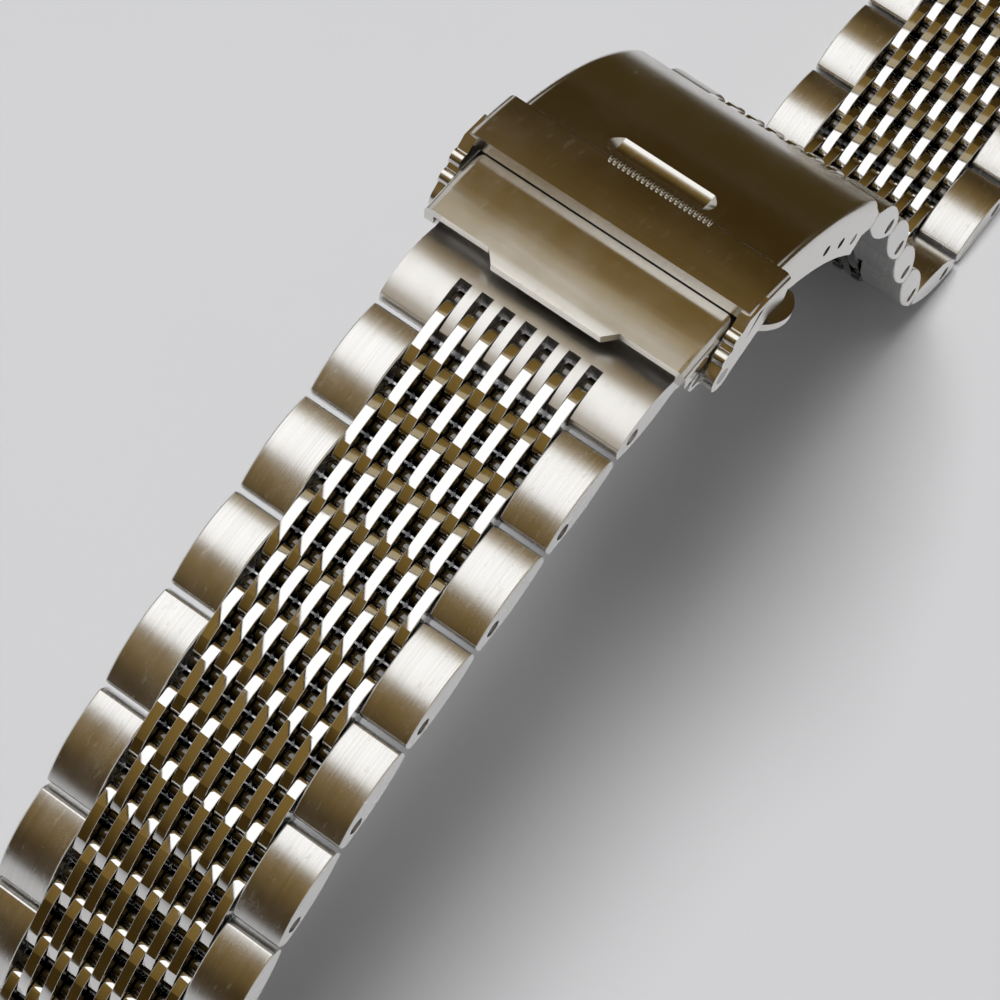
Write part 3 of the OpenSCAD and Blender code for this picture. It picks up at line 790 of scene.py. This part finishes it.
class BRACELET_OT_stage(bpy.types.Operator):
    """Camera, pale floor, soft light and the dim room that the steel mirrors"""

    bl_idname = "bracelet.stage"
    bl_label = "Stage"

    def execute(self, context):
        look = context.scene.bracelet_stage
        context.scene.view_settings.view_transform = "Standard"
        self.camera(context, look)
        self.floor(look)
        self.room(look)
        self.light(context)
        return {"FINISHED"}

    def camera(self, context, look):
        """Camera on the photo's line of sight, level, with no shift and no depth of field."""
        a, e = look.azimuth, look.elevation
        ahead = Vector((math.sin(a) * math.cos(e), math.cos(a) * math.cos(e), -math.sin(e)))
        right = Vector((math.cos(a), -math.sin(a), 0.0))
        up = right.cross(ahead)
        data = bpy.data.cameras.new("camera")
        data.sensor_width = SENSOR_WIDTH
        data.lens = SENSOR_WIDTH * look.zoom
        data.clip_start = 0.005
        data.dof.use_dof = False
        camera = bpy.data.objects.new("camera", data)
        camera.matrix_world = Matrix.Translation(
            right * look.aim_right + up * look.aim_up - ahead * look.distance
        ) @ Matrix((right, up, -ahead)).transposed().to_4x4()
        context.scene.collection.objects.link(camera)
        context.scene.camera = camera

    def floor(self, look):
        """A wide flat floor just under the bracelet."""
        sides = 96
        t = np.linspace(0, 2 * math.pi, sides, endpoint=False)
        rim = np.stack([np.cos(t), np.sin(t), 0 * t], 1) * ROOM_RADIUS
        mesh = bpy.data.meshes.new("floor")
        mesh.from_pydata(rim.tolist(), [], [list(range(sides))])
        material = bpy.data.materials.new("floor_matt")
        recipe = Recipe(material)
        mottle = recipe.noise((30.0, 30.0, 30.0), detail=2.0)
        pale = tuple(look.floor) + (1.0,)
        paler = tuple(0.97 * c for c in look.floor) + (1.0,)
        shader = recipe.add("ShaderNodeBsdfPrincipled", None, {
            "Base Color": recipe.blend(mottle, paler, pale), "Roughness": 0.8, "Specular IOR Level": 0.0})
        recipe.add("ShaderNodeOutputMaterial", None, {"Surface": shader})
        mesh.materials.append(material)
        self.show("floor", mesh)

    def room(self, look):
        """Dim room, white panel in a dark frame, cream card and dark bench, seen by mirror rays only.

        The room is radius * (cos e cos a, cos e sin a, sin e); all the others are flat sheets.
        """
        a, e = np.meshgrid(np.linspace(0, 2 * math.pi, 65), np.linspace(0, math.pi / 2, 17), indexing="ij")
        dome = ROOM_RADIUS * np.stack([np.cos(e) * np.cos(a), np.cos(e) * np.sin(a), np.sin(e)], -1)
        self.card("room", dome, look.dusk, look.room, 1.0, look.sides)
        white = (1.0, 1.0, 1.0)
        self.card("panel", self.sheet((-0.315, 0.24), (0.0, 0.32), 0.5, 1.0), white, white, 1.4)
        self.card("panel_frame", self.sheet((-0.34, 0.255), (-0.02, 0.34), 0.503, 1.0),
                  look.dusk, look.dusk, 0.4)
        self.card("fill", self.sheet((0.255, 0.34), (-0.3, 0.5), 0.506, 0.0), look.fill, look.fill, 1.0)
        self.card("bench", self.sheet((0.072, 0.8), (-0.5, 0.8), 0.0006, 0.0), look.bench, look.bench, 1.0)

    def sheet(self, x, y, z, slant):
        """A flat grid between two corners at height z, whose low x edge moves by slant for each metre of y."""
        u, v = np.meshgrid(np.linspace(0, 1, 5), np.linspace(0, 1, 5), indexing="ij")
        across = y[0] + (y[1] - y[0]) * v
        edge = x[0] + slant * across
        return np.stack([edge + (x[1] - edge) * u, across, np.full(u.shape, z)], -1)

    def card(self, name, grid, low, high, strength, sides=None):
        """A shining sheet over a grid of points, whose colour turns from low to high with height.

        Where sides is given, it turns to that colour towards both ends of the y axis.
        """
        wide, tall = grid.shape[:2]
        cell = np.arange(wide - 1)[:, None] * tall + np.arange(tall - 1)[None, :]
        faces = np.stack([cell, cell + 1, cell + tall + 1, cell + tall], -1).reshape(-1, 4)
        mesh = bpy.data.meshes.new(name)
        mesh.from_pydata(grid.reshape(-1, 3).tolist(), [], faces.tolist())
        material = bpy.data.materials.new(name)
        recipe = Recipe(material)
        where = recipe.add("ShaderNodeTexCoord", output="Object")
        height = recipe.add("ShaderNodeSeparateXYZ", None, {0: where}, output=2)
        cloud = recipe.noise((5.0, 5.0, 5.0), detail=2.0)
        rise = recipe.ramp(height * 1.2 + cloud * 0.1, 0.4, 1.05)
        tint = recipe.blend(rise, tuple(low) + (1.0,), tuple(high) + (1.0,))
        if sides:
            across = recipe.add("ShaderNodeSeparateXYZ", None, {0: where}, output=1)
            off = recipe.ramp(recipe.add("ShaderNodeMath", {"operation": "ABSOLUTE"}, {0: across}), 0.36, 0.52)
            tint = recipe.blend(off, tint, tuple(sides) + (1.0,))
        shader = recipe.add("ShaderNodeEmission", None, {"Color": tint, "Strength": strength})
        recipe.add("ShaderNodeOutputMaterial", None, {"Surface": shader})
        mesh.materials.append(material)
        piece = self.show(name, mesh)
        piece.visible_camera = False
        piece.visible_diffuse = False
        piece.visible_shadow = False
        piece.visible_transmission = False

    def show(self, name, mesh):
        """Puts a mesh in the scene as part of the stage."""
        piece = bpy.data.objects.new(name, mesh)
        bpy.context.scene.collection.objects.link(piece)
        return piece

    def light(self, context):
        """A soft lamp overhead, unseen in the steel, and an even pale world."""
        data = bpy.data.lights.new("key", "AREA")
        data.shape = "RECTANGLE"
        data.size = 0.24
        data.size_y = 0.24
        data.energy = 3.4
        lamp = bpy.data.objects.new("key", data)
        lamp.location = (-0.02, 0.04, 0.65)
        lamp.rotation_mode = "QUATERNION"
        lamp.rotation_quaternion = Vector(lamp.location).to_track_quat("Z", "Y")
        lamp.visible_glossy = False
        context.scene.collection.objects.link(lamp)
        world = bpy.data.worlds.new("pale_world")
        context.scene.world = world
        recipe = Recipe(world)
        rays = [recipe.add("ShaderNodeLightPath", output="Is %s Ray" % kind)
                for kind in ("Camera", "Glossy", "Transmission")]
        seen = rays[0] + rays[1] + rays[2]
        back = recipe.add("ShaderNodeBackground", None, {
            "Color": (0.72, 0.72, 0.73, 1.0), "Strength": 0.32 + 0.58 * seen})
        recipe.add("ShaderNodeOutputWorld", None, {"Surface": back})


class BRACELET_PT_panel(bpy.types.Panel):
    """Buttons for the bracelet's steps, and its sizes, colours and stage settings"""

    bl_label = "Metal Watch Bracelet"
    bl_idname = "BRACELET_PT_panel"
    bl_space_type = "VIEW_3D"
    bl_region_type = "UI"
    bl_category = "Bracelet"

    def draw(self, context):
        for step in STEPS:
            self.layout.operator(step.bl_idname)
        for group in (context.scene.bracelet_strap, context.scene.bracelet_steel, context.scene.bracelet_stage):
            for name in group.bl_rna.properties.keys()[2:]:
                self.layout.prop(group, name)


GROUPS = {"bracelet_strap": StrapSizes, "bracelet_steel": SteelLook, "bracelet_stage": StageLook}
STEPS = (
    BRACELET_OT_plates,
    BRACELET_OT_side_links,
    BRACELET_OT_pins,
    BRACELET_OT_strap_ends,
    BRACELET_OT_clasp,
    BRACELET_OT_stage,
)


def register():
    for kind in (*GROUPS.values(), *STEPS, BRACELET_PT_panel):
        bpy.utils.register_class(kind)
    for name, kind in GROUPS.items():
        setattr(bpy.types.Scene, name, bpy.props.PointerProperty(type=kind))


def unregister():
    for name in GROUPS:
        delattr(bpy.types.Scene, name)
    for kind in reversed((*GROUPS.values(), *STEPS, BRACELET_PT_panel)):
        bpy.utils.unregister_class(kind)


def main():
    register()
    bpy.ops.bracelet.plates()
    bpy.ops.bracelet.side_links()
    bpy.ops.bracelet.pins()
    bpy.ops.bracelet.strap_ends()
    bpy.ops.bracelet.clasp()
    bpy.ops.bracelet.stage()


if __name__ == "__main__":
    main()
